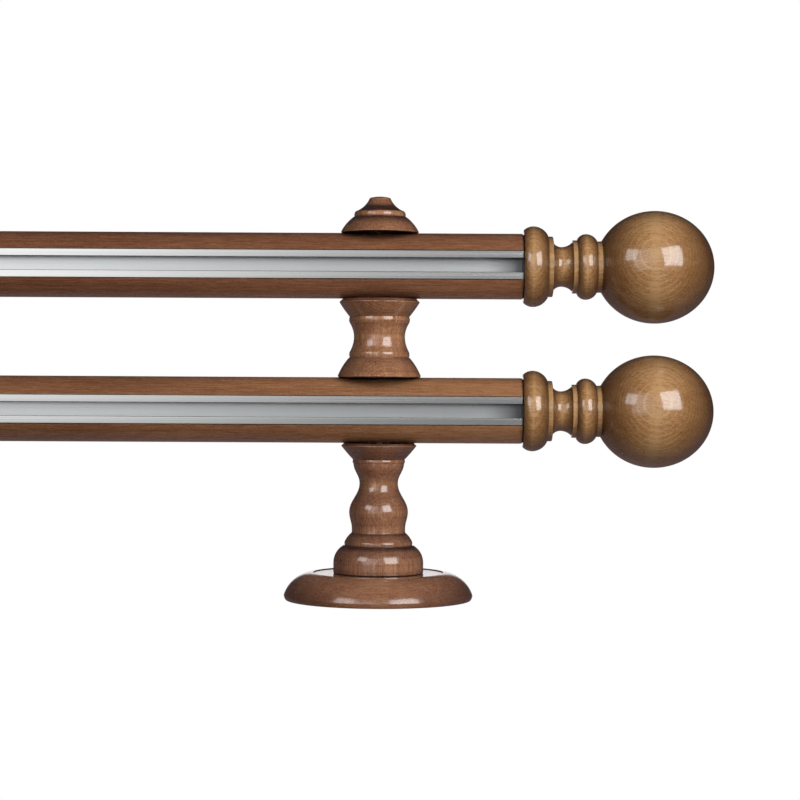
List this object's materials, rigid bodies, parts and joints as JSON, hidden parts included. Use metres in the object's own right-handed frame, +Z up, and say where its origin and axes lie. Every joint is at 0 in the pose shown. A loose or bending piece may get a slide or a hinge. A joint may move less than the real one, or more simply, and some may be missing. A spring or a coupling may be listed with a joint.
{
  "type": "double curtain pole",
  "caption": "Turned wooden double curtain pole with a glider track let into the underside of each pole, ball finials and wall brackets.",
  "frame": {"origin": "on the wall, midway between the wall bolt holes of the brackets", "axes": "+X along the poles, +Y into the wall, +Z up as hung, with the tracks facing down"},
  "size_m": [1.1626, 0.1715, 0.0804],
  "materials": {
    "pole_wood": "satin lacquer",
    "turned_wood": "gloss lacquer",
    "track_aluminium": "satin",
    "plated_steel": "zinc plated",
    "sleeve_brass": "plain"
  },
  "bodies": {
    "root": {"front_pole": "pole_wood", "front_track": "track_aluminium", "finial_front_right": "turned_wood", "finial_screw_front_right": "plated_steel", "finial_front_left": "turned_wood", "finial_screw_front_left": "plated_steel", "rear_pole": "pole_wood", "rear_track": "track_aluminium", "finial_rear_right": "turned_wood", "finial_screw_rear_right": "plated_steel", "finial_rear_left": "turned_wood", "finial_screw_rear_left": "plated_steel", "wall_rose_right": "turned_wood", "bracket_arm_right": "turned_wood", "pole_spacer_right": "turned_wood", "end_cap_right": "turned_wood", "wall_insert_right": "sleeve_brass", "arm_insert_right": "sleeve_brass", "cap_insert_right": "sleeve_brass", "tie_rod_right": "plated_steel", "wall_rose_left": "turned_wood", "bracket_arm_left": "turned_wood", "pole_spacer_left": "turned_wood", "end_cap_left": "turned_wood", "wall_insert_left": "sleeve_brass", "arm_insert_left": "sleeve_brass", "cap_insert_left": "sleeve_brass", "tie_rod_left": "plated_steel"}
  },
  "joints": []
}
